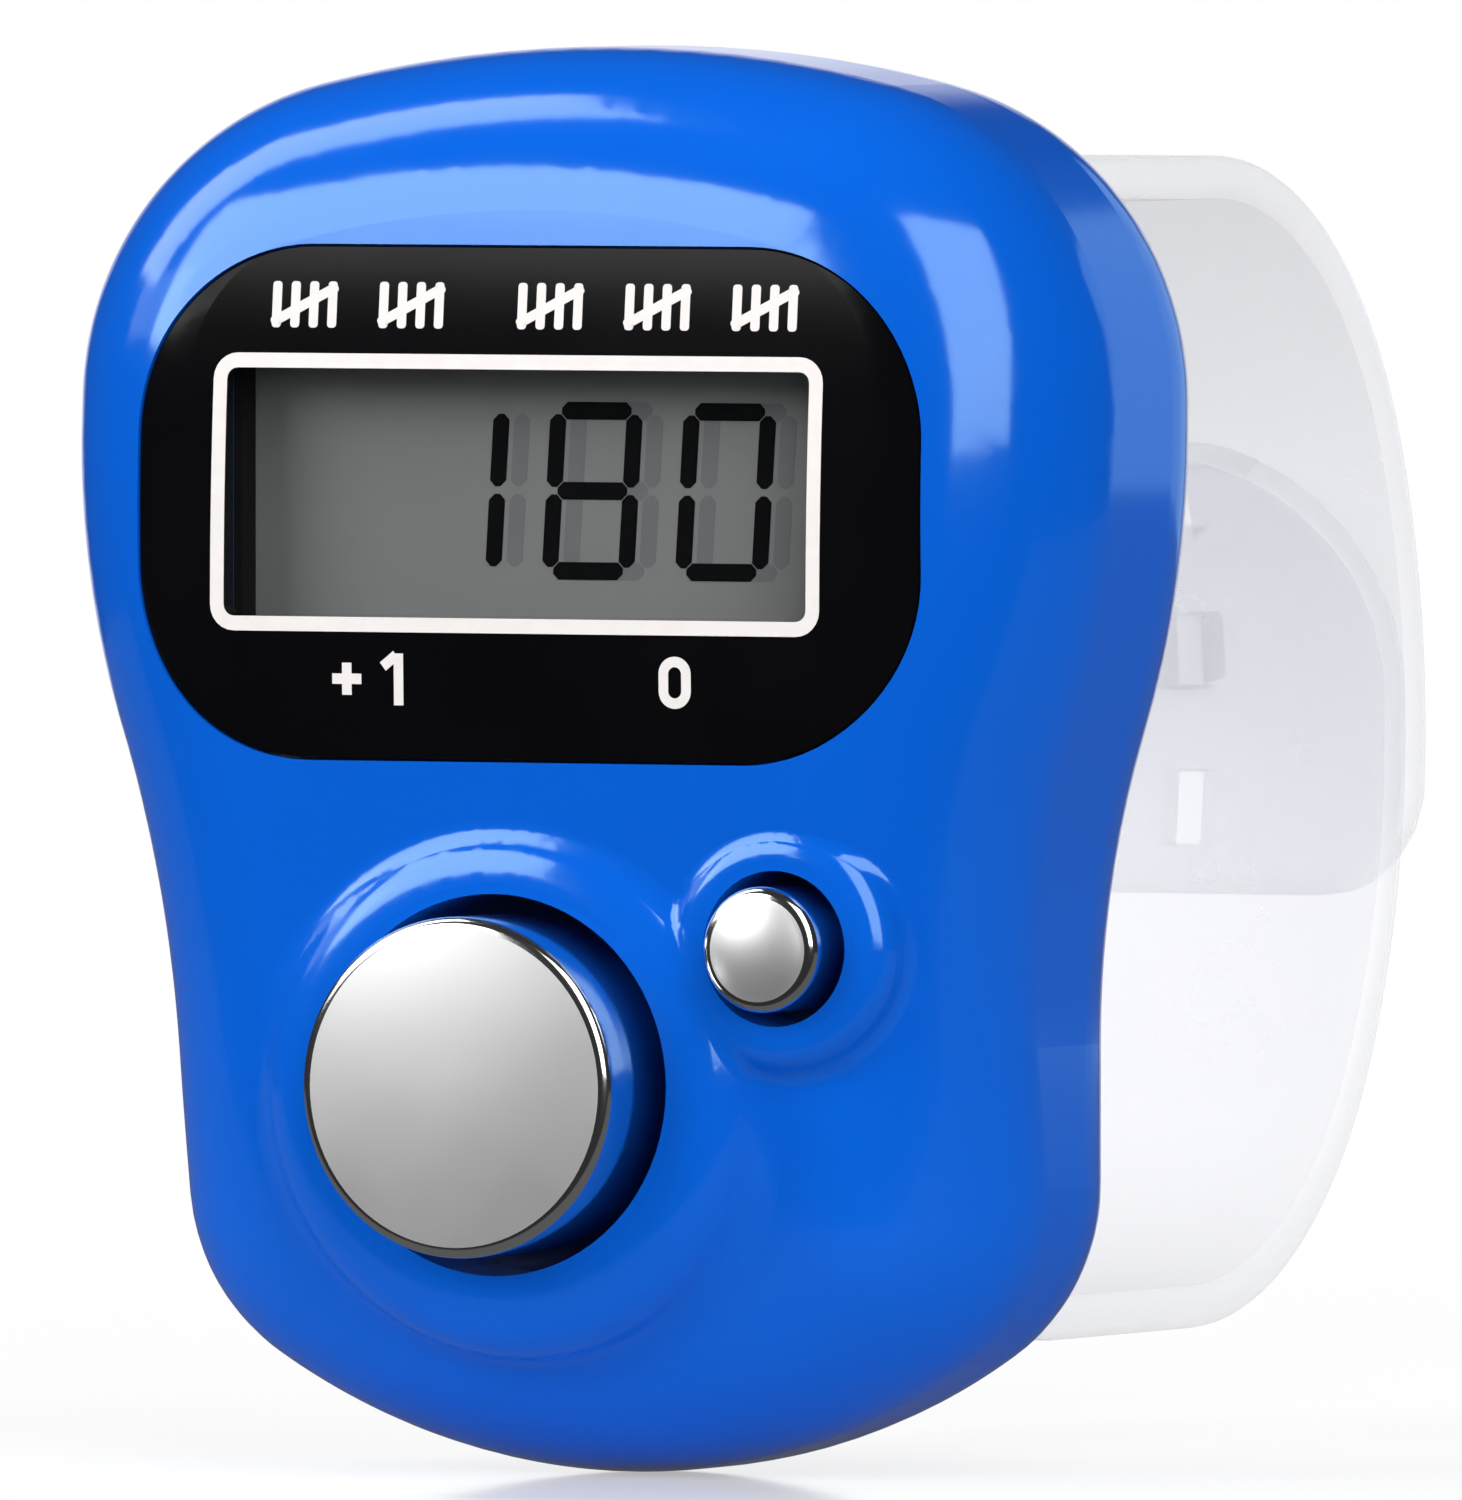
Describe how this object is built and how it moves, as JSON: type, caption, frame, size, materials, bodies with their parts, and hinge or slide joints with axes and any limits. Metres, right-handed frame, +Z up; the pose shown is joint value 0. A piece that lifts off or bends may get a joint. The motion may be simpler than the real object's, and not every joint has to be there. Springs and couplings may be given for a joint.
{
  "type": "digital tally counter",
  "caption": "Finger-worn digital tally counter: rounded blue case, black display panel, chrome count and reset buttons, clear adjustable strap.",
  "frame": {"origin": "middle of the finger loop, on the line that the finger lies along", "axes": "+X along the finger, to the right seen from the front; +Y from the display to the strap; +Z up the case, from the buttons to the display"},
  "size_m": [0.0304, 0.0471, 0.0386],
  "materials": {
    "blue_abs": "polished moulded ABS",
    "black_panel": "polished black plastic",
    "clear_acrylic": "clear polished",
    "display_film": "polarising film",
    "display_glass": "clear glass",
    "display_reflector": "satin grey film",
    "white_plastic": "moulded",
    "zebra_rubber": "layered silicone",
    "board_laminate": "solder mask",
    "epoxy": "cast epoxy",
    "component_body": "fired ceramic",
    "gold_plating": "plated",
    "chrome_plating": "satin chrome plating on ABS",
    "silicone": "moulded silicone",
    "carbon_rubber": "carbon loaded rubber",
    "nickel_steel": "nickel plated",
    "zinc_steel": "zinc plated",
    "clear_strap": "frosted clear soft plastic"
  },
  "bodies": {
    "case": {"front_shell": "blue_abs", "rear_shell": "blue_abs", "display_panel": "black_panel", "window_lens": "clear_acrylic", "front_polariser": "display_film", "front_glass": "display_glass", "rear_glass": "display_glass", "reflector": "display_reflector", "display_holder": "white_plastic", "zebra_connector": "zebra_rubber", "circuit_board": "board_laminate", "controller_chip": "epoxy", "board_capacitor": "component_body", "board_resistors": "component_body", "contact_pads": "gold_plating", "count_dome": "silicone", "reset_dome": "silicone", "cell_can": "nickel_steel", "cell_cap": "nickel_steel", "cell_gasket": "white_plastic", "battery_clip": "nickel_steel", "battery_leaf": "nickel_steel", "case_screws": "zinc_steel", "board_screws": "zinc_steel", "finger_strap": "clear_strap"},
    "count_key": {"count_button": "chrome_plating", "count_contact": "carbon_rubber"},
    "reset_key": {"reset_button": "chrome_plating", "reset_contact": "carbon_rubber"}
  },
  "joints": [
    {"name": "count_press", "type": "slide", "parent": "case", "child": "count_key", "axis": [0, 1, 0], "range_m": [0, 0.0008], "stiffness_N_per_m": 1800, "springref_m": -0.0004, "deforming": ["count_dome"]},
    {"name": "reset_press", "type": "slide", "parent": "case", "child": "reset_key", "axis": [0, 1, 0], "range_m": [0, 0.0006], "stiffness_N_per_m": 1800, "springref_m": -0.0004, "deforming": ["reset_dome"]}
  ]
}
